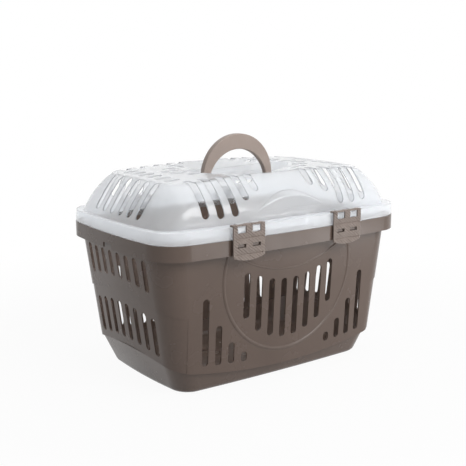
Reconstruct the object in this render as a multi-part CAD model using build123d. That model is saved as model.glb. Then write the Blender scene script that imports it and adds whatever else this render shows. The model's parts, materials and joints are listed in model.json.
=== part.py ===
from build123d import *
import os
from math import asin, cos, degrees, pi, sin

# A top-opening pet carrier: a slotted tub, a translucent domed lid, an arched
# handle and four clips. The two rear clips are the lid's hinge.
# Millimetres. X runs along the length, -Y is the front, Z = 0 is the ground.

# overall sizes
rim_length = 490.0
rim_depth = 324.0
rim_top = 242.6
handle_top = 380.0
half_length = rim_length / 2
half_depth = rim_depth / 2
# how far cutters and helper shapes run past what they cut
overrun = 20.0
cut_lap = 1.0

# plan of every level: sides bow outwards between rounded corners
rim_bow_x = 9.7
rim_bow_y = 12.1
rim_corner = 52.0

# tub
wall = 2.4
end_overhang = 8.5
side_overhang = 16.5
skirt_height = 23.4
skirt_bottom = rim_top - skirt_height
end_draft = 0.138
side_draft = 0.061
wall_corner = 45.0
wall_base_corner = 34.0
wall_base_bow_x = 5.0
wall_base_bow_y = 8.0
foot_length = 380.0
foot_depth = 233.0
foot_corner = 34.0
foot_bow_x = 7.0
foot_bow_y = 4.5
plinth_step = 1.0
# the ledge over the plinth: lowest at mid front, highest at mid end
ledge_mid = 23.5
ledge_rise_ends = 20.0
ledge_rise_crown = 13.0
ledge_reach_x = 214.0
ledge_reach_y = 133.0
ledge_depth = 70.0
ledge_lap = 0.4
# the curved slabs run on past the outline they are fitted to
saddle_spread = 1.35
saddle_turn_limit = 0.9
floor = 2.6
foot_round = 11.0

# breathing slots in the long sides, from the middle outwards
slot_width = 11.3
long_slots = [
    (12.0, 68.5, 166.0),
    (36.0, 75.0, 169.0),
    (60.0, 87.0, 176.0),
    (83.5, 111.0, 184.0),
]
corner_slots = [
    (85.0, 41.0, 57.0),
    (109.0, 42.5, 77.0),
    (132.5, 44.0, 108.0),
    (156.0, 47.0, 153.5),
]
# two rows of slots in each end
end_slot_pitch = 23.9
end_slot_count = 8
end_upper_top = 213.0
end_upper_bottom = 171.0
end_lower_top = 130.0
end_lower_bottom = 69.0
end_row_sag = 8.0
# the ends step in below an arch between the two rows
panel_step = 1.8
panel_top = 154.0
panel_fall = 14.0
panel_fall_at = 98.0
panel_from_x = 186.0
notch_width = 26.0
notch_height = 8.0

# half-round beads on the long sides: a ring open at the top, and a smile
ring_bead = 4.0
ring_sunk = 2.5
ring_radius = 126.0
ring_centre = 175.0
ring_end = 24.0
smile_bead = 3.2
smile_sunk = 2.2
smile_radius = 188.0
smile_low = 182.0
smile_end = 38.5
bead_points = 25

# lid
lid_wall = 2.2
seat_gap = 0.4
flange_top = 262.0
flange_draft = 1.5
flange_set_in = 0.3
seat_bevel = 1.2
tongue_gap = 1.2
tongue_drop = 6.6
lid_slot_width = 13.0
shoulder_levels = [
    (291.0, 217.0, 137.0, 38.0, 9.0, 10.0),
    (312.0, 201.0, 118.6, 34.0, 7.0, 7.0),
    (334.0, 174.0, 93.0, 30.0, 5.0, 4.0),
]
dome_corner = 42.0
crown_top = 329.0
crown_drop_x = 7.0
crown_drop_y = 2.2
crown_reach_x = 195.6
crown_reach_y = 122.4
crown_depth = 90.0
dish_low = 316.0
dish_radius = 500.0
pocket_floor = 311.6
pocket_half_x = 92.0
pocket_half_y = 44.0
pocket_slope = 0.70
# lid slots: place along the side and the height they start from
lid_front_slots = [(55.0, 305.0), (79.5, 294.0), (105.0, 273.0), (130.5, 272.0), (156.0, 274.0)]
lid_end_slot_pitch = 24.7
lid_end_slot_count = 6
lid_end_slot_low = 270.0
lid_end_slot_top = 321.0
lid_slot_top = 328.0
lid_slot_inner_x = 184.0
lid_slot_inner_y = 98.0
# slots in the top: over the front crease, beside the end crease, round the pocket
top_cut_low = 311.0
crease_slot_y = (82.0, 110.0)
crease_slot_x = (152.0, 179.0)
pocket_slots = [(107.0, 138.0), (90.0, 121.0), (64.0, 97.0)]
# arched brow on the front and back slopes
brow_top = 295.5
brow_radius = 118.0
brow_flare = 0.45
brow_back = 120.0
brow_height = 60.0
brow_round = 3.0

# handle
handle_depth = 11.0
handle_outer = 70.0
handle_inner = 60.0
handle_crown = 25.0
handle_round = 1.6
spigot_x = 8.0
spigot_y = 7.0
spigot_gap = 0.2
barb_drop = 3.5
barb_proud = 1.2

# clips, their hinge line and the lugs that they take
clip_centre = 98.0
clip_width = 58.0
clip_plate = 2.6
clip_top = 266.0
clip_low = 211.0
clip_sag = 5.5
clip_corner = 3.0
clip_stand_off = 0.6
hinge_inset = 5.0
hinge_lift = 1.9
hinge_bar = 1.6
hinge_play = 0.06
ear_wall = 1.5
ear_width = 12.0
ear_mouth = 2.6
window_pitch = 27.2
window_width = 16.0
window_low = 252.6
window_top = 263.3
catch_width = 15.0
catch_low = 230.9
catch_top = 236.4
catch_side_gap = 1.0
catch_end_gap = 0.7
lug_width = 13.0
lug_low = 254.6
lug_top = 261.6
lug_sunk = 1.4
tooth_gap = 0.3
web_width = 7.0
web_height = 2.6
web_root = 0.5
post_root = 1.0

hinge_y = half_depth - hinge_inset
hinge_z = flange_top + hinge_lift
plate_inner = half_depth + clip_stand_off
plate_outer = plate_inner + clip_plate
base_level = 0.0
ledge_top = ledge_mid + ledge_rise_crown


def bowed_outline(half_x, half_y, corner, bow_x, bow_y):
    """Closed plan of four outward arcs with filleted corners."""
    end_x = half_x - bow_x
    end_y = half_y - bow_y
    sides = [
        ThreePointArc((-end_x, -end_y), (0, -half_y), (end_x, -end_y)),
        ThreePointArc((end_x, -end_y), (half_x, 0), (end_x, end_y)),
        ThreePointArc((end_x, end_y), (0, half_y), (-end_x, end_y)),
        ThreePointArc((-end_x, end_y), (-half_x, 0), (-end_x, -end_y)),
    ]
    face = make_face(sides)
    return fillet(face.vertices(), corner)


def rim_outline(inset):
    """The rim's plan, moved inwards."""
    return bowed_outline(half_length - inset, half_depth - inset, rim_corner - inset, rim_bow_x, rim_bow_y)


def wall_sizes(z):
    """Half length, half depth and the two bows of the tub wall at one height."""
    half_x = half_length - end_overhang - (skirt_bottom - z) * end_draft
    half_y = half_depth - side_overhang - (skirt_bottom - z) * side_draft
    bow_x = wall_base_bow_x + (rim_bow_x - wall_base_bow_x) * z / rim_top
    bow_y = wall_base_bow_y + (rim_bow_y - wall_base_bow_y) * z / rim_top
    return half_x, half_y, bow_x, bow_y


def wall_outline(z, inset, step=0.0):
    """The tub wall's plan at one height; step moves in the ends alone."""
    half_x, half_y, bow_x, bow_y = wall_sizes(z)
    corner = wall_base_corner + (wall_corner - wall_base_corner) * z / rim_top - inset
    return bowed_outline(half_x - inset - step, half_y - inset, corner, bow_x, bow_y)


def between(z_low, low, z_high, high):
    """Ruled wall between two plans."""
    return loft([Pos(0, 0, z_low) * low, Pos(0, 0, z_high) * high], ruled=True)


def saddle(top, rise_x, reach_x, drop_y, reach_y, depth):
    """Slab whose top is curved along X by rise_x and falls by drop_y at the sides."""
    sweep_radius = reach_y ** 2 / (2 * drop_y)
    axis = Axis((0, 0, top - sweep_radius), (1, 0, 0))
    span = reach_x * saddle_spread
    end_rise = rise_x * (span / reach_x) ** 2
    crest = ThreePointArc((-span, top + end_rise), (0, top), (span, top + end_rise))
    low = top - depth
    border = Polyline((span, top + end_rise), (span, low), (-span, low), (-span, top + end_rise))
    profile = Plane.XZ * make_face([crest, border])
    half_turn = degrees(asin(min(saddle_turn_limit, saddle_spread * reach_y / sweep_radius)))
    return revolve(profile.rotate(axis, -half_turn), axis, 2 * half_turn)


def ledge_slab(top):
    """Everything below the ledge over the plinth."""
    return saddle(top, ledge_rise_ends, ledge_reach_x, ledge_rise_crown, ledge_reach_y, ledge_depth)


def end_panels(inset, low, high):
    """Layer that the tub's form loses under the arch at both ends."""
    outer = between(low, wall_outline(low, inset - cut_lap), high, wall_outline(high, inset - cut_lap))
    inner = between(low, wall_outline(low, inset, panel_step), high, wall_outline(high, inset, panel_step))
    arch_radius = (panel_fall_at ** 2 + panel_fall ** 2) / (2 * panel_fall)
    arch = Pos(0, panel_top + inset - arch_radius) * Circle(arch_radius)
    below = extrude(Plane.YZ * arch, half_length + overrun, both=True)
    middle = Pos(0, 0, rim_top / 2) * Box(2 * panel_from_x, rim_depth, 2 * rim_top)
    return (outer - inner) & (below - middle)


def tub_form(inset):
    """Solid form of the tub, moved inwards by inset."""
    lift = floor if inset > 0 else 0.0
    top = rim_top + (overrun if inset > 0 else 0.0)
    upper = between(lift, wall_outline(lift, inset), top, wall_outline(top, inset))
    upper = upper - end_panels(inset, lift, top) - ledge_slab(ledge_top + inset)
    high = ledge_top + ledge_rise_ends + ledge_lap
    foot = bowed_outline(
        foot_length / 2 - inset, foot_depth / 2 - inset, foot_corner - inset, foot_bow_x, foot_bow_y
    )
    collar = wall_outline(high, inset + plinth_step)
    plinth = between(base_level + lift, foot, high, collar)
    plinth = fillet(plinth.edges().group_by(Axis.Z)[0], foot_round - inset / 2)
    return upper + (plinth & ledge_slab(ledge_top + inset + ledge_lap))


def long_side_cuts(places):
    """Upright round-ended slots, cut through both long sides."""
    cuts = Sketch()
    for x, low, high in places:
        for side in (-1, 1):
            cuts += Pos(side * x, (low + high) / 2) * Rot(0, 0, 90) * SlotOverall(high - low, slot_width)
    return extrude(Plane.XZ * cuts, half_depth + overrun, both=True)


def end_cuts():
    """Two rows of upright slots, cut through both ends."""
    cuts = Sketch()
    reach = end_slot_pitch * (end_slot_count - 1) / 2
    for i in range(end_slot_count):
        y = i * end_slot_pitch - reach
        sag = end_row_sag * (y / reach) ** 2
        rows = [(end_upper_bottom - sag, end_upper_top), (end_lower_bottom - sag, end_lower_top - sag)]
        for low, high in rows:
            cuts += Pos(y, (low + high) / 2) * Rot(0, 0, 90) * SlotOverall(high - low, slot_width)
    return extrude(Plane.YZ * cuts, half_length + overrun, both=True)


def bead(section, sunk, centre_z, radius, start, finish):
    """Round bead along an arc drawn on the front wall."""
    points = []
    for i in range(bead_points):
        turn = (start + (finish - start) * i / (bead_points - 1)) * pi / 180
        x = radius * cos(turn)
        z = centre_z + radius * sin(turn)
        half_x, half_y, bow_x, bow_y = wall_sizes(z)
        points.append((x, sunk - half_y + bow_y * (x / (half_x - bow_x)) ** 2, z))
    path = Spline(points)
    return sweep(Plane(path @ 0, z_dir=path % 0) * Circle(section), path=path)


def side_beads():
    """Ring and smile on both long sides."""
    ring = bead(ring_bead, ring_sunk, ring_centre, ring_radius, 180 - ring_end, 360 + ring_end)
    smile_centre = smile_low + smile_radius
    smile = bead(smile_bead, smile_sunk, smile_centre, smile_radius, 270 - smile_end, 270 + smile_end)
    return both_sides(ring + smile)


def rim():
    """Downturned rim: top plate and skirt."""
    block = extrude(Pos(0, 0, skirt_bottom) * rim_outline(0), skirt_height)
    hollow = extrude(Pos(0, 0, skirt_bottom) * rim_outline(wall), skirt_height - wall)
    notch = Pos(0, 0, skirt_bottom) * Box(rim_length + overrun, notch_width, 2 * notch_height)
    return block - hollow - notch


def clip_places():
    """Centre of each clip along X."""
    return (-clip_centre, clip_centre)


def both_sides(shape):
    """The shape and its mirror at the back."""
    return shape + mirror(shape, about=Plane.XZ)


def catch_teeth():
    """Two teeth behind the lower slots of each clip."""
    teeth = Part()
    depth = plate_inner - tooth_gap - (half_depth - hinge_inset)
    y = -(plate_inner - tooth_gap - depth / 2)
    z = (catch_low + catch_top) / 2
    tooth_height = catch_top - catch_low - 2 * catch_end_gap
    for x in clip_places():
        for side in (-1, 1):
            at = Pos(x + side * window_pitch / 2, y, z)
            teeth += at * Box(catch_width - 2 * catch_side_gap, depth, tooth_height)
    return both_sides(teeth)


def base_tub():
    """Slotted tub with its rim, beads and catch teeth."""
    cavity = tub_form(wall)
    outside = tub_form(0) + rim() + side_beads() + catch_teeth()
    tub = outside - cavity
    return tub - long_side_cuts(long_slots + corner_slots) - end_cuts()


def dome_foot(inset):
    """Plan of the dome where it meets the flange; it drops inside the tub wall."""
    half_x, half_y, bow_x, bow_y = wall_sizes(rim_top)
    reach = wall + tongue_gap + inset
    return bowed_outline(half_x - reach, half_y - reach, dome_corner - inset, bow_x, bow_y)


def brows(inset):
    """Arched bosses that carry the dome's foot upwards at the front and back."""
    front_y = wall_sizes(rim_top)[1] - wall - tongue_gap
    centre_z = brow_top - brow_radius
    near = Plane.XZ.offset(front_y) * Pos(0, centre_z) * Circle(brow_radius - inset)
    far_radius = brow_radius + (front_y - brow_back) * brow_flare
    far = Plane.XZ.offset(brow_back) * Pos(0, centre_z) * Circle(far_radius - inset)
    column = extrude(Pos(0, 0, flange_top) * dome_foot(inset), brow_height)
    boss = loft([near, far], ruled=True) & column
    if inset == 0:
        arch = boss.edges().filter_by(GeomType.BSPLINE).sort_by(Axis.Z)[-1]
        boss = fillet(arch, brow_round)
    return both_sides(boss)


def dome_form(inset):
    """Solid form of the dome above the ledge, moved inwards by inset."""
    foot = dome_foot(inset)
    levels = [Pos(0, 0, flange_top) * foot]
    for z, half_x, half_y, corner, bow_x, bow_y in shoulder_levels:
        plan = bowed_outline(half_x - inset, half_y - inset, corner - inset, bow_x, bow_y)
        levels.append(Pos(0, 0, z) * plan)
    shoulders = loft(levels)
    top = crown_top - inset
    crown = saddle(top, -crown_drop_x, crown_reach_x, crown_drop_y, crown_reach_y, crown_depth)
    neck = extrude(Pos(0, 0, flange_top) * foot, -(flange_top - rim_top + tongue_drop + inset))
    return (shoulders & crown) + neck + brows(inset)


def handle_recess(inset):
    """Dished top with an oval pocket, grown by inset."""
    dish = Pos(0, 0, dish_low + dish_radius) * Sphere(dish_radius + inset)
    low = pocket_floor - inset
    high = crown_top + overrun
    spread = (high - low) * pocket_slope
    oval_low = Pos(0, 0, low) * Ellipse(pocket_half_x + inset, pocket_half_y + inset)
    oval_high = Pos(0, 0, high) * Ellipse(pocket_half_x + inset + spread, pocket_half_y + inset + spread)
    return dish + loft([oval_low, oval_high], ruled=True)


def lid_side_cuts():
    """Slots that run up the front and back of the dome."""
    cuts = Sketch()
    for x, low in lid_front_slots:
        for side in (-1, 1):
            middle = (low + lid_slot_top) / 2
            cuts += Pos(side * x, middle) * Rot(0, 0, 90) * SlotOverall(lid_slot_top - low, lid_slot_width)
    over = Sketch()
    start, finish = crease_slot_y
    for x, _ in lid_front_slots:
        for side in (-1, 1):
            slot = Rot(0, 0, 90) * SlotOverall(finish - start, lid_slot_width)
            over += Pos(side * x, -(start + finish) / 2) * slot
    front = extrude(Plane.XZ.offset(lid_slot_inner_y) * cuts, half_depth - lid_slot_inner_y)
    return both_sides(front + extrude(Pos(0, 0, top_cut_low) * over, overrun))


def lid_end_cuts():
    """Slots that run up both ends of the dome."""
    cuts = Sketch()
    reach = lid_end_slot_pitch * (lid_end_slot_count - 1) / 2
    length = lid_end_slot_top - lid_end_slot_low
    for i in range(lid_end_slot_count):
        y = i * lid_end_slot_pitch - reach
        middle = (lid_end_slot_low + lid_end_slot_top) / 2
        cuts += Pos(y, middle) * Rot(0, 0, 90) * SlotOverall(length, lid_slot_width)
    end = extrude(Plane.YZ.offset(lid_slot_inner_x) * cuts, half_length - lid_slot_inner_x)
    return end + mirror(end, about=Plane.YZ)


def lid_top_cuts():
    """Slots along the top: one past each end slot and one more by the pocket."""
    cuts = Sketch()
    for i, pocket_slot in enumerate(pocket_slots):
        y = (i + 0.5) * lid_end_slot_pitch
        for start, finish in (crease_slot_x, pocket_slot):
            slot = Pos((start + finish) / 2, y) * SlotOverall(finish - start, lid_slot_width)
            cuts += slot + mirror(slot, about=Plane.YZ)
    quarter = extrude(Pos(0, 0, top_cut_low) * cuts, overrun)
    return both_sides(quarter)


def clip_mounts():
    """Hinge ears on the ledge and lugs on the flange, for all four clips."""
    parts = Part()
    ear_radius = hinge_bar + hinge_play + ear_wall
    root = half_depth - 2 * hinge_inset
    for x in clip_places():
        for side in (-1, 1):
            at_x = x + side * window_pitch / 2
            ear = Pos(at_x, -hinge_y, hinge_z) * Rot(0, 90, 0) * Cylinder(ear_radius, ear_width)
            post_height = hinge_z - flange_top + post_root
            post_at = Pos(at_x, -hinge_y, hinge_z - post_height / 2)
            post = post_at * Box(ear_width, 2 * ear_radius, post_height)
            lug_depth = plate_outer - lug_sunk - root
            lug_at = Pos(at_x, -(root + lug_depth / 2), (lug_low + lug_top) / 2)
            lug = lug_at * Box(lug_width, lug_depth, lug_top - lug_low)
            mouth = Pos(at_x, -hinge_y, hinge_z + ear_radius) * Box(ear_width, ear_mouth, 2 * ear_radius)
            parts += ear + post - mouth + lug
    return both_sides(parts)


def hinge_bores():
    """Running bores for the clips' bars."""
    bores = Part()
    for x in clip_places():
        bores += Pos(x, -hinge_y, hinge_z) * Rot(0, 90, 0) * Cylinder(hinge_bar + hinge_play, clip_width)
    return both_sides(bores)


def lid_shell():
    """Domed lid with its flange, tongue, slots, recess and clip mounts."""
    flange_low = rim_top + seat_gap
    block = loft(
        [
            Pos(0, 0, flange_low) * rim_outline(flange_set_in + seat_bevel),
            Pos(0, 0, flange_low + seat_bevel) * rim_outline(flange_set_in),
            Pos(0, 0, flange_top) * rim_outline(flange_draft),
        ],
        ruled=True,
    )
    under = between(
        flange_low - cut_lap,
        rim_outline(lid_wall + flange_set_in),
        flange_top - lid_wall,
        rim_outline(lid_wall + flange_draft),
    )
    tongue_bottom = rim_top - tongue_drop
    dome = dome_form(0)
    recess = handle_recess(0)
    cavity = dome_form(lid_wall) - handle_recess(lid_wall)
    foot_block = dome & Pos(0, 0, (tongue_bottom + flange_top) / 2) * Box(
        rim_length, rim_depth, flange_top - tongue_bottom
    )
    shell = (block - under) + (dome - recess) + foot_block + clip_mounts()
    shell = shell - cavity - hinge_bores()
    shell = shell - lid_side_cuts() - lid_end_cuts() - lid_top_cuts()
    return shell - spigot_holes()


def spigot_places():
    """Where the handle's feet pass the recess floor."""
    foot_mid = (handle_outer + (handle_inner ** 2 - (pocket_floor - inner_centre()) ** 2) ** 0.5) / 2
    return (-foot_mid, foot_mid)


def inner_centre():
    """Height of the finger arch's centre."""
    return handle_top - handle_crown - handle_inner


def spigot_holes():
    """Holes in the recess floor for the handle's spigots."""
    holes = Part()
    for x in spigot_places():
        hole = Box(spigot_x + 2 * spigot_gap, spigot_y + 2 * spigot_gap, 4 * lid_wall)
        holes += Pos(x, 0, pocket_floor - lid_wall / 2) * hole
    return holes


def carry_handle():
    """Crescent handle with snap-in feet."""
    outer = Pos(0, handle_top - handle_outer) * Circle(handle_outer)
    inner = Pos(0, inner_centre()) * Circle(handle_inner)
    keep = Pos(0, pocket_floor + handle_outer) * Rectangle(4 * handle_outer, 2 * handle_outer)
    crescent = (outer - inner) & keep
    bow = extrude(Plane.XZ * crescent, handle_depth / 2, both=True)
    rounded = bow.edges().filter_by(GeomType.CIRCLE)
    bow = fillet(rounded, handle_round)
    for x in spigot_places():
        drop = lid_wall + spigot_gap + barb_drop
        bow += Pos(x, 0, pocket_floor - drop / 2) * Box(spigot_x, spigot_y, drop)
        barb = Pos(x, 0, pocket_floor - lid_wall - spigot_gap - barb_drop / 2)
        bow += barb * Box(spigot_x + 2 * barb_proud, spigot_y, barb_drop)
    return bow


def clip():
    """One clip at the front, centred on X = 0."""
    straight = clip_low + clip_sag
    tab = make_face(
        [
            ThreePointArc((-clip_width / 2, straight), (0, clip_low), (clip_width / 2, straight)),
            Polyline(
                (clip_width / 2, straight),
                (clip_width / 2, clip_top),
                (-clip_width / 2, clip_top),
                (-clip_width / 2, straight),
            ),
        ]
    )
    tab = fillet(tab.vertices(), clip_corner)
    for side in (-1, 1):
        x = side * window_pitch / 2
        tab -= Pos(x, (window_low + window_top) / 2) * Rectangle(window_width, window_top - window_low)
        tab -= Pos(x, (catch_low + catch_top) / 2) * Rectangle(catch_width, catch_top - catch_low)
    plate = Pos(0, -plate_inner, 0) * extrude(Plane.XZ * tab, clip_plate)
    bar = Pos(0, -hinge_y, hinge_z) * Rot(0, 90, 0) * Cylinder(hinge_bar, clip_width)
    shape = plate + bar
    web_reach = plate_inner + web_root - hinge_y
    for x in (-(clip_width - web_width) / 2, 0, (clip_width - web_width) / 2):
        shape += Pos(x, -(hinge_y + web_reach / 2), hinge_z) * Box(web_width, web_reach, web_height)
    return shape


def save(shape, name):
    """Write one named piece."""
    export_step(shape, f"parts/{name}.step")
    print(name, round(shape.volume), [round(v, 1) for v in tuple(shape.bounding_box().size)])


os.makedirs("parts", exist_ok=True)
save(base_tub(), "base_tub")
save(lid_shell(), "lid_shell")
save(carry_handle(), "carry_handle")
front_clip = clip()
for side_name, x in (("left", -clip_centre), ("right", clip_centre)):
    save(Pos(x, 0, 0) * front_clip, f"front_clip_{side_name}")
    save(mirror(Pos(x, 0, 0) * front_clip, about=Plane.XZ), f"rear_clip_{side_name}")
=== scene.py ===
import json
import math
import bpy
from mathutils import Matrix, Vector

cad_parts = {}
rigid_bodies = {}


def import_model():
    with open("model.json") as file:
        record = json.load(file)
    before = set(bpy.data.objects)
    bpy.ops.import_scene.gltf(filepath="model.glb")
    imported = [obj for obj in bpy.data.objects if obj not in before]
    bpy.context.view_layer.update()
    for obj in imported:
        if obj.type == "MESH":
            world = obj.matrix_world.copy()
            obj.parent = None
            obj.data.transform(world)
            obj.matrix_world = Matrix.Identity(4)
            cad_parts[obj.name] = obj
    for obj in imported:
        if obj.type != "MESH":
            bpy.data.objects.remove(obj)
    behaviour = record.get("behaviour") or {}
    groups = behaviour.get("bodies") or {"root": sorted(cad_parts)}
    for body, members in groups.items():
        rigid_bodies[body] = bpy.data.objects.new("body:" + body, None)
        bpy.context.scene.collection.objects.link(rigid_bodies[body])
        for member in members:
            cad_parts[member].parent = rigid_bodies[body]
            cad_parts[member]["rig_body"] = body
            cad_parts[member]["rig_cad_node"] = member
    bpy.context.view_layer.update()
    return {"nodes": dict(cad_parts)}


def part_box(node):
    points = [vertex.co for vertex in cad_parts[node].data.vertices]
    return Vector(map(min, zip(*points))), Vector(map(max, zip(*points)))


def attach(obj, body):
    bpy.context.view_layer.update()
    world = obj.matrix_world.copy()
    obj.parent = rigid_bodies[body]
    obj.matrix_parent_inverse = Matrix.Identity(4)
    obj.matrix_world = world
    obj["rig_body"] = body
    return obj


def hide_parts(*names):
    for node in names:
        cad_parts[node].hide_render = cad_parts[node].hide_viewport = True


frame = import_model()
nodes = frame["nodes"]
bpy.ops.object.select_all(action="DESELECT")
print("frame loaded:", len(nodes), "nodes")

# the camera stands where the photograph was taken from
cameraSettings = {
    "azimuth": 0.63455,       # radians to the left of the front
    "elevation": 0.24019,
    "distance": 1.4846,
    "aimHeight": 0.14958,
    "roll": -0.0018,
    "frameSize": 466,
    "focalLength": 870.71,    # in frame pixels
    "opticalX": 236.83,
    "opticalY": 269.68,
    "sensorWidth": 36,
    "farthest": 50,
}


def placeCamera(settings):
    side = settings["azimuth"]
    rise = settings["elevation"]
    level = math.cos(rise)
    back = Vector((-math.sin(side) * level, -math.cos(side) * level, math.sin(rise)))
    aim = Vector((0, 0, settings["aimHeight"]))
    bpy.ops.object.camera_add(location=aim + back * settings["distance"])
    camera = bpy.context.object
    camera.name = "photoCamera"
    turn = (-back).to_track_quat("-Z", "Y").to_matrix().to_4x4()
    roll = Matrix.Rotation(settings["roll"], 4, "Z")
    camera.matrix_world = Matrix.Translation(camera.location) @ turn @ roll
    size = settings["frameSize"]
    camera.data.sensor_width = settings["sensorWidth"]
    camera.data.lens = settings["sensorWidth"] * settings["focalLength"] / size
    camera.data.shift_x = (size / 2 - settings["opticalX"]) / size
    camera.data.shift_y = (settings["opticalY"] - size / 2) / size
    camera.data.clip_end = settings["farthest"]
    bpy.context.scene.camera = camera


placeCamera(cameraSettings)
print("camera placed")


class Flow:
    # one socket, so that shader maths reads as plain sums

    def __init__(self, tree, socket):
        self.tree = tree
        self.socket = socket

    def math(self, operation, *values, clamp=False):
        node = self.tree.nodes.new("ShaderNodeMath")
        node.operation = operation
        node.use_clamp = clamp
        for place, value in enumerate(values):
            plug(self.tree, value, node.inputs[place])
        return Flow(self.tree, node.outputs[0])

    def __add__(self, other):
        return self.math("ADD", self, other)

    def __radd__(self, other):
        return self.math("ADD", other, self)

    def __sub__(self, other):
        return self.math("SUBTRACT", self, other)

    def __rsub__(self, other):
        return self.math("SUBTRACT", other, self)

    def __mul__(self, other):
        return self.math("MULTIPLY", self, other)

    def __rmul__(self, other):
        return self.math("MULTIPLY", other, self)

    def __truediv__(self, other):
        return self.math("DIVIDE", self, other)

    def __pow__(self, other):
        return self.math("POWER", self, other)

    def size(self):
        return self.math("ABSOLUTE", self)

    def orMore(self, other):
        return self.math("MAXIMUM", self, other)

    def clamped(self):
        return self.math("ADD", self, 0.0, clamp=True)

    def above(self, level, softness):
        # 0 below the level, 1 above it, with a soft step between
        return ((self - level) / softness + 0.5).clamped()


def plug(tree, value, target):
    if isinstance(value, Flow):
        tree.links.new(value.socket, target)
    else:
        target.default_value = value


shaderSockets = {
    "color": "Base Color", "roughness": "Roughness", "normal": "Normal", "ior": "IOR",
    "coat": "Coat Weight", "coatRoughness": "Coat Roughness", "clear": "Transmission Weight",
}


class Board:
    # a node tree with one way to add any node

    def __init__(self, tree):
        self.tree = tree

    def node(self, kind, settings=None, sockets=None, output=0):
        made = self.tree.nodes.new("ShaderNode" + kind)
        for name, value in (settings or {}).items():
            setattr(made, name, value)
        for name, value in (sockets or {}).items():
            plug(self.tree, value, made.inputs[name])
        return Flow(self.tree, made.outputs[output])

    def rays(self, *kinds):
        # 1 for rays of any of the kinds named
        path = self.node("LightPath")
        outputs = path.socket.node.outputs
        total = Flow(self.tree, outputs["Is " + kinds[0] + " Ray"])
        for kind in kinds[1:]:
            total = total.orMore(Flow(self.tree, outputs["Is " + kind + " Ray"]))
        return total


class Finish(Board):
    # a material with its shader

    def __init__(self, name):
        self.material = bpy.data.materials.new(name)
        self.material.use_nodes = True
        super().__init__(self.material.node_tree)
        self.shader = self.tree.nodes["Principled BSDF"]
        self.output = self.tree.nodes["Material Output"]

    def place(self, scale=(1, 1, 1)):
        spot = self.node("TexCoord", output="Object")
        return self.node("Mapping", sockets={"Vector": spot, "Scale": scale})

    def parts(self, vector):
        split = self.node("SeparateXYZ", sockets={"Vector": vector})
        return [Flow(self.tree, output) for output in split.socket.node.outputs]

    def noise(self, spot, scale, detail=3.0):
        sockets = {"Vector": spot, "Scale": scale, "Detail": detail}
        return self.node("TexNoise", sockets=sockets, output="Fac")

    def blend(self, share, first, second):
        sockets = {0: share, 6: first, 7: second}
        return self.node("Mix", settings={"data_type": "RGBA"}, sockets=sockets, output=2)

    def bump(self, height, distance, under=None):
        sockets = {"Height": height, "Distance": distance}
        if under is not None:
            sockets["Normal"] = under
        return self.node("Bump", sockets=sockets)

    def uneven(self, pattern, middle, spread):
        # a value that wanders around its middle
        return pattern * spread + (middle - spread / 2)

    def set(self, **values):
        for name, value in values.items():
            plug(self.tree, value, self.shader.inputs[shaderSockets[name]])

    def mixed(self, share, first, second):
        mix = self.tree.nodes.new("ShaderNodeMixShader")
        plug(self.tree, share, mix.inputs[0])
        plug(self.tree, first, mix.inputs[1])
        plug(self.tree, second, mix.inputs[2])
        return Flow(self.tree, mix.outputs[0])

    def surface(self):
        return Flow(self.tree, self.shader.outputs[0])

    def close(self, shader):
        plug(self.tree, shader, self.output.inputs["Surface"])


def dress(piece, material):
    for slot in piece.material_slots:
        slot.material = material


# tub: polished brown plastic with faint darker streaks painted into its colour as streaked
# reflections, and a slightly waved surface
tubLook = {
    "color": (0.116, 0.083, 0.067, 1),
    "shade": (0.094, 0.066, 0.053, 1),
    "roughness": 0.26,
    "roughnessSpread": 0.12,
    "patchSize": 24.0,
    "ior": 1.40,
    "grainSize": 900.0,
    "grainDepth": 0.00003,
    "streakSize": 8.0,
    "streakScale": (1.0, 1.0, 0.4),
    "streakEdge": 0.45,
    "waveSize": 7.0,
    "waveScale": (1.0, 1.0, 0.55),
    "waveDepth": 0.0016,
}


def makeTubPlastic(look):
    finish = Finish("tubPlastic")
    spot = finish.place()
    paintedReflectionStreaks = finish.noise(finish.place(scale=look["streakScale"]), look["streakSize"], 4.0)
    waves = finish.noise(finish.place(scale=look["waveScale"]), look["waveSize"], 1.0)
    patches = finish.noise(spot, look["patchSize"])
    share = paintedReflectionStreaks.above(0.5, look["streakEdge"])
    # painted reflection: the darker shade colour follows the streak pattern
    finish.set(color=finish.blend(share, look["shade"], look["color"]), ior=look["ior"])
    finish.set(roughness=finish.uneven(patches, look["roughness"], look["roughnessSpread"]))
    grain = finish.bump(finish.noise(spot, look["grainSize"], 2.0), look["grainDepth"])
    finish.set(normal=finish.bump(waves, look["waveDepth"], under=grain))
    return finish.material


# lid: clear plastic with a milky haze, which lets lamp light through
lidLook = {
    "color": (0.95, 0.965, 0.98, 1),
    "haze": (0.93, 0.94, 0.96, 1),
    "hazeShare": 0.19,
    "hazeSpread": 0.06,
    "hazeSize": 14.0,
    "clear": 0.80,
    "ior": 1.12,              # low, so that haze isn't trapped in the wall
    "coat": 0.8,
    "roughness": 0.06,
    "roughnessSpread": 0.04,
    "patchSize": 60.0,
    "waveSize": 9.0,
    "waveDepth": 0.00012,
    "lampLight": (0.86, 0.87, 0.88, 1),
}

# where the slots' walls lie, in metres from the middle and the ground, and the grey painted on them
# as shade for the dark edge outlines
slotEdgeShadeLook = {
    # painted shade: the dark grey given to the slot walls as edge outlines
    "color": (0.26, 0.27, 0.29, 1),
    "lowest": 0.263,
    "frontFrom": 0.098,
    "endFrom": 0.184,
    "topFrom": 0.3115,
    "topShare": 0.35,
    "edge": 0.001,
    "tilt": 0.05,             # a slot's wall leans less than this from square
    "tiltEdge": 0.02,
}

# the thin wall that reaches down inside the tub's rim
tongueLook = {
    "top": 0.2462,
    "halfLength": 0.231,
    "halfDepth": 0.151,
    "cornerSum": 0.352,
    "edge": 0.001,
    "cornerEdge": 0.002,
    "clear": 0.7,
}


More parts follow.
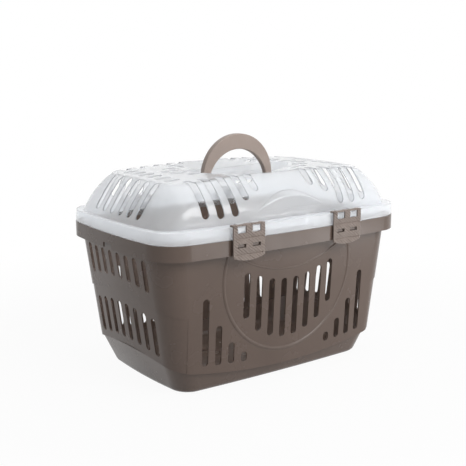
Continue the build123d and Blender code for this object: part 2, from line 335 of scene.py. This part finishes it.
def paintedSlotEdgeShade(finish, look):
    # 1 on the walls of the lid's slots, which show as fine grey outlines: painted shade standing in
    # for the dark edges that clear plastic shows
    x, y, z = finish.parts(finish.place())
    normals = finish.parts(finish.node("TexCoord", output="Normal"))
    tilt, tiltEdge, edge = look["tilt"], look["tiltEdge"], look["edge"]
    squareX, squareY, squareZ = [1 - normal.size().above(tilt, tiltEdge) for normal in normals]
    frontCut = squareY * y.size().above(look["frontFrom"], edge)
    endCut = squareX * x.size().above(look["endFrom"], edge)
    topCut = squareZ * z.above(look["topFrom"], edge) * look["topShare"]
    return frontCut.orMore(endCut).orMore(topCut) * z.above(look["lowest"], edge)


def tongueWall(finish, look):
    # 1 on the tongue, which lies below the dome's foot and inside the flange
    x, y, z = finish.parts(finish.place())
    inDepth = 1 - y.size().above(look["halfDepth"], look["edge"])
    inLength = 1 - x.size().above(look["halfLength"], look["edge"])
    inCorner = 1 - (x.size() + y.size()).above(look["cornerSum"], look["cornerEdge"])
    return inDepth * inLength * inCorner * (1 - z.above(look["top"], look["edge"]))


def makeLidPlastic(look, edgeShadeLook, thinLook):
    finish = Finish("lidPlastic")
    spot = finish.place()
    cut = paintedSlotEdgeShade(finish, edgeShadeLook)
    # the slot walls get the painted shade colour, as dark edge outlines
    finish.set(color=finish.blend(cut, look["color"], edgeShadeLook["color"]))
    finish.set(clear=look["clear"], ior=look["ior"])
    finish.set(coat=look["coat"], coatRoughness=look["roughness"])
    patches = finish.noise(spot, look["patchSize"])
    finish.set(roughness=finish.uneven(patches, look["roughness"], look["roughnessSpread"]))
    finish.set(normal=finish.bump(finish.noise(spot, look["waveSize"], 1.0), look["waveDepth"]))
    milk = finish.node("BsdfTranslucent", sockets={"Color": look["haze"]})
    cloud = finish.noise(spot, look["hazeSize"])
    share = finish.uneven(cloud, look["hazeShare"], look["hazeSpread"])
    body = finish.mixed(share, finish.surface(), milk)
    through = finish.node("BsdfTransparent", sockets={"Color": look["lampLight"]})
    thin = tongueWall(finish, thinLook) * thinLook["clear"]
    finish.close(finish.mixed(finish.rays("Shadow").orMore(thin), body, through))
    return finish.material


# handle: satin plastic, lighter than the tub
handleLook = {
    "color": (0.345, 0.279, 0.244, 1),
    "shade": (0.303, 0.244, 0.212, 1),
    "roughness": 0.38,
    "roughnessSpread": 0.12,
    "patchSize": 30.0,
    "patchEdge": 0.5,
    "ior": 1.40,
    "grainSize": 1000.0,
    "grainDepth": 0.00003,
}


def makeHandlePlastic(look):
    finish = Finish("handlePlastic")
    spot = finish.place()
    patches = finish.noise(spot, look["patchSize"])
    share = patches.above(0.5, look["patchEdge"])
    finish.set(color=finish.blend(share, look["shade"], look["color"]), ior=look["ior"])
    finish.set(roughness=finish.uneven(patches, look["roughness"], look["roughnessSpread"]))
    finish.set(normal=finish.bump(finish.noise(spot, look["grainSize"], 2.0), look["grainDepth"]))
    return finish.material


# clips: a darker plastic than the handle's, with a fine grain
clipLook = {
    "color": (0.220, 0.176, 0.152, 1),
    "shade": (0.178, 0.140, 0.120, 1),
    "roughness": 0.40,
    "roughnessSpread": 0.10,
    "patchSize": 60.0,
    "patchEdge": 0.6,
    "grainSize": 700.0,
    "grainDepth": 0.00008,
}


def makeClipPlastic(look):
    finish = Finish("clipPlastic")
    spot = finish.place()
    grain = finish.noise(spot, look["grainSize"], 2.0)
    patches = finish.noise(spot, look["patchSize"])
    share = patches.above(0.5, look["patchEdge"])
    finish.set(color=finish.blend(share, look["shade"], look["color"]))
    finish.set(roughness=finish.uneven(grain, look["roughness"], look["roughnessSpread"]))
    finish.set(normal=finish.bump(grain, look["grainDepth"]))
    return finish.material


tubPlastic = makeTubPlastic(tubLook)
lidPlastic = makeLidPlastic(lidLook, slotEdgeShadeLook, tongueLook)
handlePlastic = makeHandlePlastic(handleLook)
clipPlastic = makeClipPlastic(clipLook)
dress(nodes["base_tub"], tubPlastic)
dress(nodes["lid_shell"], lidPlastic)
dress(nodes["carry_handle"], handlePlastic)
print("materials made")

# clips: the moulding with a ribbed face, cut by slanted grooves and two level lines
clipShape = {
    "grooveWidth": 0.0018,
    "groovePitch": 0.0035,
    "grooveCount": 26,
    "grooveSlope": math.radians(37),
    "grooveReach": 2.2,       # groove length in clip heights, to pass both sides
    "lineHeights": (0.2445, 0.2203),
    "lineWidth": 0.0026,
    "lineMargin": 0.004,
    "mergeDistance": 0.000002,
    "flatAngle": math.radians(1),
    "smoothAngle": math.radians(30),
}


def clearSelection():
    bpy.ops.object.select_all(action="DESELECT")


def pick(piece):
    clearSelection()
    piece.select_set(True)
    bpy.context.view_layer.objects.active = piece


def mergedCopy(node, name, shape):
    # a loose copy of a node, closed up and free of its body
    pick(node)
    bpy.ops.object.duplicate()
    piece = bpy.context.object
    piece.parent = None
    piece.matrix_world = Matrix.Identity(4)
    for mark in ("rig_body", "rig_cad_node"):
        del piece[mark]
    piece.name = name
    pick(piece)
    bpy.ops.object.mode_set(mode="EDIT")
    bpy.ops.mesh.select_all(action="SELECT")
    bpy.ops.mesh.remove_doubles(threshold=shape["mergeDistance"])
    bpy.ops.mesh.dissolve_limited(angle_limit=shape["flatAngle"])
    bpy.ops.object.mode_set(mode="OBJECT")
    return piece


def addBar(place, length, width, slope):
    # a square bar set on edge, so that it cuts a V groove
    bpy.ops.mesh.primitive_cube_add(size=1, location=place, rotation=(math.radians(45), 0, 0))
    bar = bpy.context.object
    bar.scale = (length, width / math.sqrt(2), width / math.sqrt(2))
    bpy.ops.object.transform_apply(location=False, rotation=True, scale=True)
    bar.rotation_euler = (0, slope, 0)
    bpy.ops.object.transform_apply(location=True, rotation=True, scale=True)
    return bar


def grooveCutter(low, high, faceY, shape):
    # one slanted bar, repeated along X, which falls to the right seen from outside
    middle = (low + high) / 2
    slope = shape["grooveSlope"] if faceY < 0 else -shape["grooveSlope"]
    run = shape["groovePitch"] / math.sin(shape["grooveSlope"])
    start = middle.x - run * (shape["grooveCount"] - 1) / 2
    length = (high.z - low.z) * shape["grooveReach"]
    clearSelection()
    bar = addBar((start, faceY, middle.z), length, shape["grooveWidth"], slope)
    row = bar.modifiers.new("row", "ARRAY")
    row.count = shape["grooveCount"]
    row.use_relative_offset = False
    row.use_constant_offset = True
    row.constant_offset_displace = (run, 0, 0)
    bpy.ops.object.modifier_apply(modifier="row")
    return bar


def cut(piece, tool):
    pick(piece)
    trim = piece.modifiers.new("trim", "BOOLEAN")
    trim.operation = "DIFFERENCE"
    trim.solver = "EXACT"
    trim.object = tool
    bpy.ops.object.modifier_apply(modifier="trim")
    bpy.data.objects.remove(tool)


def modelClip(nodeName, shape):
    piece = mergedCopy(nodes[nodeName], nodeName + "_ribbed", shape)
    low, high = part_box(nodeName)
    faceY = low.y if abs(low.y) > abs(high.y) else high.y
    cut(piece, grooveCutter(low, high, faceY, shape))
    length = high.x - low.x - 2 * shape["lineMargin"]
    for height in shape["lineHeights"]:
        clearSelection()
        place = ((low.x + high.x) / 2, faceY, height)
        cut(piece, addBar(place, length, shape["lineWidth"], 0))
    pick(piece)
    bpy.ops.object.shade_smooth_by_angle(angle=shape["smoothAngle"])
    piece.data.materials.clear()
    piece.data.materials.append(clipPlastic)
    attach(piece, nodeName)
    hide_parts(nodeName)
    return piece


for clipName in ("front_clip_left", "front_clip_right", "rear_clip_left", "rear_clip_right"):
    clipPiece = modelClip(clipName, clipShape)
    print("clip modelled:", clipPiece.name, len(clipPiece.data.polygons), "faces")

# stage: a white floor that keeps a soft shadow near the object
stageSettings = {
    "floorSize": 60.0,
    "floorColor": (0.68, 0.68, 0.68, 1),
    "floorPatch": (0.64, 0.64, 0.64, 1),
    "patchSize": 3.0,
    "roughness": 0.9,
    "glow": 0.94,             # share of plain white near the object
    "glowFrom": 0.45,         # metres from the object's middle
    "glowOver": 0.5,
}


def makeFloor(settings):
    bpy.ops.mesh.primitive_plane_add(size=settings["floorSize"], location=(0, 0, 0))
    floor = bpy.context.object
    floor.name = "studioFloor"
    finish = Finish("floorPaint")
    spot = finish.place()
    x, y = finish.parts(spot)[:2]
    far = ((x * x + y * y) ** 0.5 - settings["glowFrom"]) / settings["glowOver"]
    seen = finish.rays("Camera", "Glossy", "Transmission")
    share = seen * (far.clamped() * (1 - settings["glow"]) + settings["glow"])
    patches = finish.noise(spot, settings["patchSize"])
    finish.set(color=finish.blend(patches, settings["floorColor"], settings["floorPatch"]))
    finish.set(roughness=settings["roughness"])
    white = finish.node("Emission", sockets={"Color": (1, 1, 1, 1), "Strength": 1.0})
    finish.close(finish.mixed(share, finish.surface(), white))
    floor.data.materials.append(finish.material)


lampSettings = [
    # name, place, aim, width, height, watts
    ("keyBox", (0.5, -2.1, 1.6), (0, 0, 0.15), 1.6, 1.2, 34),
    ("topBox", (0.2, 0.0, 2.4), (0, 0, 0.2), 2.2, 1.6, 11),
    ("lowStrip", (0.46, -0.80, 0.055), (0, -0.15, 0.23), 0.8, 0.09, 1.3),
]


def makeLamps(settings):
    for name, place, aim, width, height, watts in settings:
        bpy.ops.object.light_add(type="AREA", location=place)
        lamp = bpy.context.object
        lamp.name = name
        lamp.data.shape = "RECTANGLE"
        lamp.data.size = width
        lamp.data.size_y = height
        lamp.data.energy = watts
        ahead = Vector(aim) - Vector(place)
        lamp.rotation_euler = ahead.to_track_quat("-Z", "Y").to_euler()


worldSettings = {
    "ambient": 0.62,
    "lean": 0.45,             # share of the light that the far left lacks
}


def makeWorld(settings):
    world = bpy.data.worlds.new("studioWorld")
    bpy.context.scene.world = world
    world.use_nodes = True
    sky = world.node_tree.nodes["Background"]
    sky.inputs["Color"].default_value = (1, 1, 1, 1)
    board = Board(world.node_tree)
    away = board.node("SeparateXYZ", sockets={"Vector": board.node("TexCoord", output="Generated")})
    lean = (away * settings["lean"] + 1.0).clamped()
    clear = board.rays("Camera", "Transmission")
    glossy = board.rays("Glossy")
    level = (glossy * (1 - settings["ambient"]) + settings["ambient"]) * lean
    plug(world.node_tree, level.orMore(clear), sky.inputs["Strength"])


makeFloor(stageSettings)
makeLamps(lampSettings)
makeWorld(worldSettings)
bpy.context.scene.view_settings.view_transform = "Standard"
print("stage lit")
